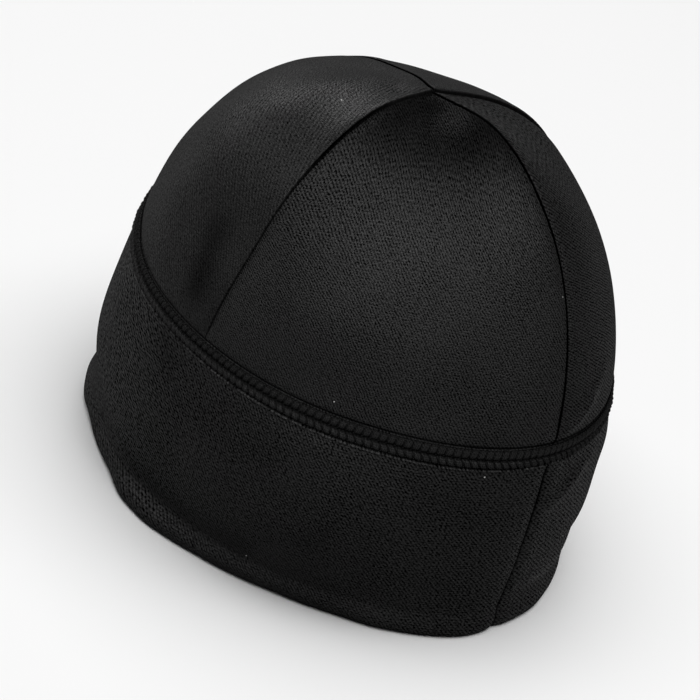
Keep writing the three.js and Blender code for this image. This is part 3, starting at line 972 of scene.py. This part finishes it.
def brushed_jersey(
    name,
    lean=RIB_LEAN,
    rib_pitch=RIB_PITCH,
    rib_share=0.4,
    course_share=0.2,
    softness=0.78,
    fineness=1.9,
):
    """Black polyester and elastane jersey, knitted fine and lightly brushed. It gives the
    eye close diagonal ribs crossed by weaker courses, a soft broad gloss on top of the
    loops and none between them, and a few pale specks of lint."""
    material = empty_material(name)
    tree = material.node_tree
    grain = add(tree, "ShaderNodeUVMap", uv_map="grain").outputs["UV"]
    waver = add(
        tree,
        "ShaderNodeTexNoise",
        {"Vector": grain, "Scale": SWAY_SCALE, "Detail": 2.0, "Roughness": 0.6},
        noise_dimensions="2D",
    ).outputs["Fac"]
    fibres = add(
        tree,
        "ShaderNodeTexNoise",
        {"Vector": grain, "Scale": fineness, "Detail": 1.0, "Roughness": 0.6},
        noise_dimensions="2D",
    ).outputs["Fac"]
    along_courses = add(
        tree, "ShaderNodeVectorMath", {0: grain, 1: SLUB_STRETCH}, operation="MULTIPLY"
    ).outputs[0]
    slubs = add(
        tree,
        "ShaderNodeTexNoise",
        {"Vector": along_courses, "Scale": SLUB_SCALE, "Detail": 1.0, "Roughness": 0.6},
        noise_dimensions="2D",
    ).outputs["Fac"]
    patches = add(
        tree,
        "ShaderNodeTexNoise",
        {"Vector": grain, "Scale": PATCH_SCALE, "Detail": 3.0, "Roughness": 0.6},
        noise_dimensions="2D",
    ).outputs["Fac"]
    ribs = sine_lines(tree, grain, waver, RIB_SWAY, lean, rib_pitch)
    courses = sine_lines(tree, grain, waver, COURSE_SWAY, COURSE_LEAN, COURSE_PITCH)
    knit = 0.5
    for part, share in (
        (ribs, rib_share),
        (courses, course_share),
        (fibres, FIBRE_SHARE),
        (slubs, SLUB_SHARE),
    ):
        knit = add(
            tree, "ShaderNodeMath", {0: part, 1: share, 2: knit}, operation="MULTIPLY_ADD"
        ).outputs[0]
    loops = add(
        tree,
        "ShaderNodeMapRange",
        {
            "Value": knit,
            "From Min": KNIT_MIDDLE - softness,
            "From Max": KNIT_MIDDLE + softness,
        },
    ).outputs["Result"]
    # painted shading from the mesh darkens the colour and takes the gloss off where it is low
    painted_shading = add(tree, "ShaderNodeAttribute", attribute_name="open").outputs["Fac"]
    height = add(
        tree, "ShaderNodeMath", {0: loops, 1: painted_shading}, operation="MULTIPLY"
    ).outputs[0]
    shade = add(
        tree,
        "ShaderNodeMath",
        {0: patches, 1: PATCH_SHARE, 2: -PATCH_SHARE / 2},
        operation="MULTIPLY_ADD",
    ).outputs[0]
    tone = add(tree, "ShaderNodeMath", {0: height, 1: shade}, operation="ADD").outputs[0]
    cloth = add(
        tree,
        "ShaderNodeMix",
        {0: tone, COLOUR_A: linear(JERSEY_DARK), COLOUR_B: linear(JERSEY_LIGHT)},
        data_type="RGBA",
    ).outputs[COLOUR_RESULT]
    specks = add(
        tree,
        "ShaderNodeTexVoronoi",
        {"Vector": grain, "Scale": LINT_SCALE, "Randomness": 1.0},
        voronoi_dimensions="2D",
    ).outputs["Distance"]
    speck = add(
        tree,
        "ShaderNodeMapRange",
        {"Value": specks, "From Min": LINT_EDGE, "From Max": LINT_CORE},
    ).outputs["Result"]
    colour = add(
        tree,
        "ShaderNodeMix",
        {0: speck, COLOUR_A: cloth, COLOUR_B: linear(LINT_PALE)},
        data_type="RGBA",
    ).outputs[COLOUR_RESULT]
    roughness = add(
        tree,
        "ShaderNodeMapRange",
        {"Value": patches, "To Min": ROUGHNESS_DULL, "To Max": ROUGHNESS_SMOOTH},
    ).outputs["Result"]
    edge_on = add(tree, "ShaderNodeLayerWeight", {"Blend": 0.25}).outputs["Facing"]
    roughness = add(
        tree,
        "ShaderNodeMapRange",
        {
            "Value": edge_on,
            "From Min": EDGE_ON,
            "To Min": roughness,
            "To Max": ROUGHNESS_MATT,
        },
    ).outputs["Result"]
    relief = add(
        tree,
        "ShaderNodeBump",
        {"Height": height, "Strength": 0.7, "Distance": KNIT_RELIEF},
    ).outputs["Normal"]
    matt_gaps_glossy_tops(tree, height, colour, relief, roughness, sheen_roughness=0.35)
    return material


TWIST_LEAN = 45
TWIST_SHARE = 0.22
FUR_SCALE = 2.6
FUR_SHARE = 1.4
LAY_LEVEL = -0.2  # what is taken off, so that the gaps between strands stay matt
LAY_RELIEF = 0.00012  # in metres
# the thread's colour runs between these with its fur and twist, and painted shade draws it to
# the dark end
THREAD_DARK = "#000000"
THREAD_LIGHT = "#0c0c0c"


def spun_thread(name, twist_pitch):
    """Black spun polyester sewing thread: twisted, a little glossier than the cloth and
    furred, so each strand catches a broken line of light along its top."""
    material = empty_material(name)
    tree = material.node_tree
    grain = add(tree, "ShaderNodeUVMap", uv_map="grain").outputs["UV"]
    twist = sine_lines(tree, grain, 0.0, 0.0, TWIST_LEAN, twist_pitch)
    fur = add(
        tree,
        "ShaderNodeTexNoise",
        {"Vector": grain, "Scale": FUR_SCALE, "Detail": 3.0, "Roughness": 0.7},
        noise_dimensions="2D",
    ).outputs["Fac"]
    lay = LAY_LEVEL
    for part, share in ((fur, FUR_SHARE), (twist, TWIST_SHARE)):
        lay = add(
            tree, "ShaderNodeMath", {0: part, 1: share, 2: lay}, operation="MULTIPLY_ADD"
        ).outputs[0]
    # painted shading from the mesh darkens the colour and takes the gloss off where it is low
    painted_shading = add(tree, "ShaderNodeAttribute", attribute_name="open").outputs["Fac"]
    lay = add(tree, "ShaderNodeMath", {0: lay, 1: painted_shading}, operation="MULTIPLY").outputs[0]
    colour = add(
        tree,
        "ShaderNodeMix",
        {0: lay, COLOUR_A: linear(THREAD_DARK), COLOUR_B: linear(THREAD_LIGHT)},
        data_type="RGBA",
    ).outputs[COLOUR_RESULT]
    relief = add(
        tree,
        "ShaderNodeBump",
        {"Height": lay, "Strength": 0.6, "Distance": LAY_RELIEF},
    ).outputs["Normal"]
    matt_gaps_glossy_tops(tree, lay, colour, relief, roughness=0.5, sheen_roughness=0.4)
    return material


FLOOR_WHITE = "#f4f4f4"


def studio_paper():
    """Matt white background paper: no gloss, a faint tooth."""
    material = empty_material("studio_paper")
    tree = material.node_tree
    surface = add(
        tree,
        "ShaderNodeBsdfPrincipled",
        {"Base Color": linear(FLOOR_WHITE), "Roughness": 0.9, "Specular IOR Level": 0.1},
    ).outputs["BSDF"]
    add(tree, "ShaderNodeOutputMaterial", {"Surface": surface})
    return material


# Sewing the hat together
crown_ribs = brushed_jersey(
    "crown_jersey_back", rib_pitch=0.87, rib_share=0.42, course_share=0.14
)
front_ribs = brushed_jersey(
    "crown_jersey_front",
    lean=30.0,
    rib_pitch=0.85,
    rib_share=0.3,
    course_share=0.12,
    softness=1.2,
)
band_ribs = brushed_jersey("band_jersey", softness=0.8, fineness=1.35)
ridge_cloth = spun_thread("stitched_ridges", twist_pitch=0.9)
sewing_thread = spun_thread("sewing_thread", twist_pitch=0.45)

back_left = crown_panel(
    "panel_back_left",
    "crown_back_left",
    seams=(BACK_SEAM, LEFT_SEAM),
    proud=(0, -0.25),
    flatness=9,
    sunken=2.0,
)
front_left = crown_panel(
    "panel_front_left",
    "crown_front_left",
    seams=(LEFT_SEAM, FRONT_SEAM),
    proud=(0.6, 0),
    flatness=9,
)
front_right = crown_panel(
    "panel_front_right",
    "crown_front_right",
    seams=(FRONT_SEAM, RIGHT_SEAM),
    proud=(0.3, 0.6),
    flatness=6.5,
)
back_right = crown_panel(
    "panel_back_right",
    "crown_back_right",
    seams=(RIGHT_SEAM, BACK_SEAM_AGAIN),
    proud=(-0.4, 0.3),
    flatness=5,
)
band = lower_band()
ridges = stitched_seam()
covering = cover_threads()
needles = needle_threads()
joins = panel_threads()

for piece, cloth in (
    (back_left, crown_ribs),
    (front_left, front_ribs),
    (front_right, front_ribs),
    (back_right, crown_ribs),
    (band, band_ribs),
    (ridges, ridge_cloth),
    (covering, sewing_thread),
    (needles, sewing_thread),
    (joins, sewing_thread),
):
    piece.data.materials.append(cloth)

# Floor and light
FLOOR_SIZE = 6.0


def add_floor():
    half = FLOOR_SIZE / 2
    corners = [(-half, -half, 0), (half, -half, 0), (half, half, 0), (-half, half, 0)]
    mesh = bpy.data.meshes.new("floor")
    mesh.from_pydata(corners, [], [(0, 1, 2, 3)])
    floor = bpy.data.objects.new("floor", mesh)
    mesh.materials.append(studio_paper())
    bpy.context.scene.collection.objects.link(floor)
    return floor


def lit_things(name, things):
    """What a flagged light falls on: the hat's own lights are kept off the paper, and the
    paper's light off the hat, as flags do in a studio."""
    lit = bpy.data.collections.new(name)
    for thing in things:
        lit.objects.link(thing)
    return lit


def add_softbox(name, round_hat, up, size, power, lit):
    """A square light that faces the hat, from so far round it and so high up."""
    outwards = direction(round_hat, up)
    data = bpy.data.lights.new(name, "AREA")
    data.shape = "SQUARE"
    data.size = size
    data.energy = power
    lamp = bpy.data.objects.new(name, data)
    lamp.location = LIGHTS_AIM + outwards * LIGHTS_DISTANCE
    lamp.rotation_mode = "QUATERNION"
    lamp.rotation_quaternion = (-outwards).to_track_quat("-Z", "Y")
    lamp.light_linking.receiver_collection = lit
    bpy.context.scene.collection.objects.link(lamp)


def add_world(level):
    world = bpy.data.worlds.new("studio")
    world.use_nodes = True
    tree = world.node_tree
    tree.nodes.clear()
    air = add(tree, "ShaderNodeBackground", {"Color": (1, 1, 1, 1), "Strength": level})
    add(tree, "ShaderNodeOutputWorld", {"Surface": air.outputs["Background"]})
    bpy.context.scene.world = world


# Lights, in metres and watts
LIGHTS_AIM = Vector((0, 0, 0.08))
LIGHTS_DISTANCE = 2.4
SOFTBOX_SIZE = 0.95
PAPER_LIGHT_SIZE = 3.2
PAPER_LIGHT_POWER = 98
AIR_LIGHT = 0.01

# Softboxes that light the hat: degrees round it from the front, degrees up, and watts
SOFTBOXES = (
    (85, 50, 122),
    (135, 50, 176),
    (210, 50, 156),
    (90, 30, 54),
    (130, 10, 52),
    (40, 30, 68),
    (340, 30, 47),
    (0, 10, 18),
    (300, 10, 4),
)

paper = add_floor()
cloth_parts = [back_left, front_left, front_right, back_right, band]
sewn_parts = [ridges, covering, needles, joins]
on_hat = lit_things("lights_on_hat", cloth_parts + sewn_parts)
on_paper = lit_things("lights_on_paper", [paper])
for round_hat, up, power in SOFTBOXES:
    add_softbox(f"softbox_{round_hat}_{up}", round_hat, up, SOFTBOX_SIZE, power, on_hat)
add_softbox("paper_light", 0, 90, PAPER_LIGHT_SIZE, PAPER_LIGHT_POWER, on_paper)
add_world(AIR_LIGHT)

look = bpy.context.scene.view_settings
look.view_transform = "Standard"
look.look = "None"
look.exposure = 0
look.gamma = 1
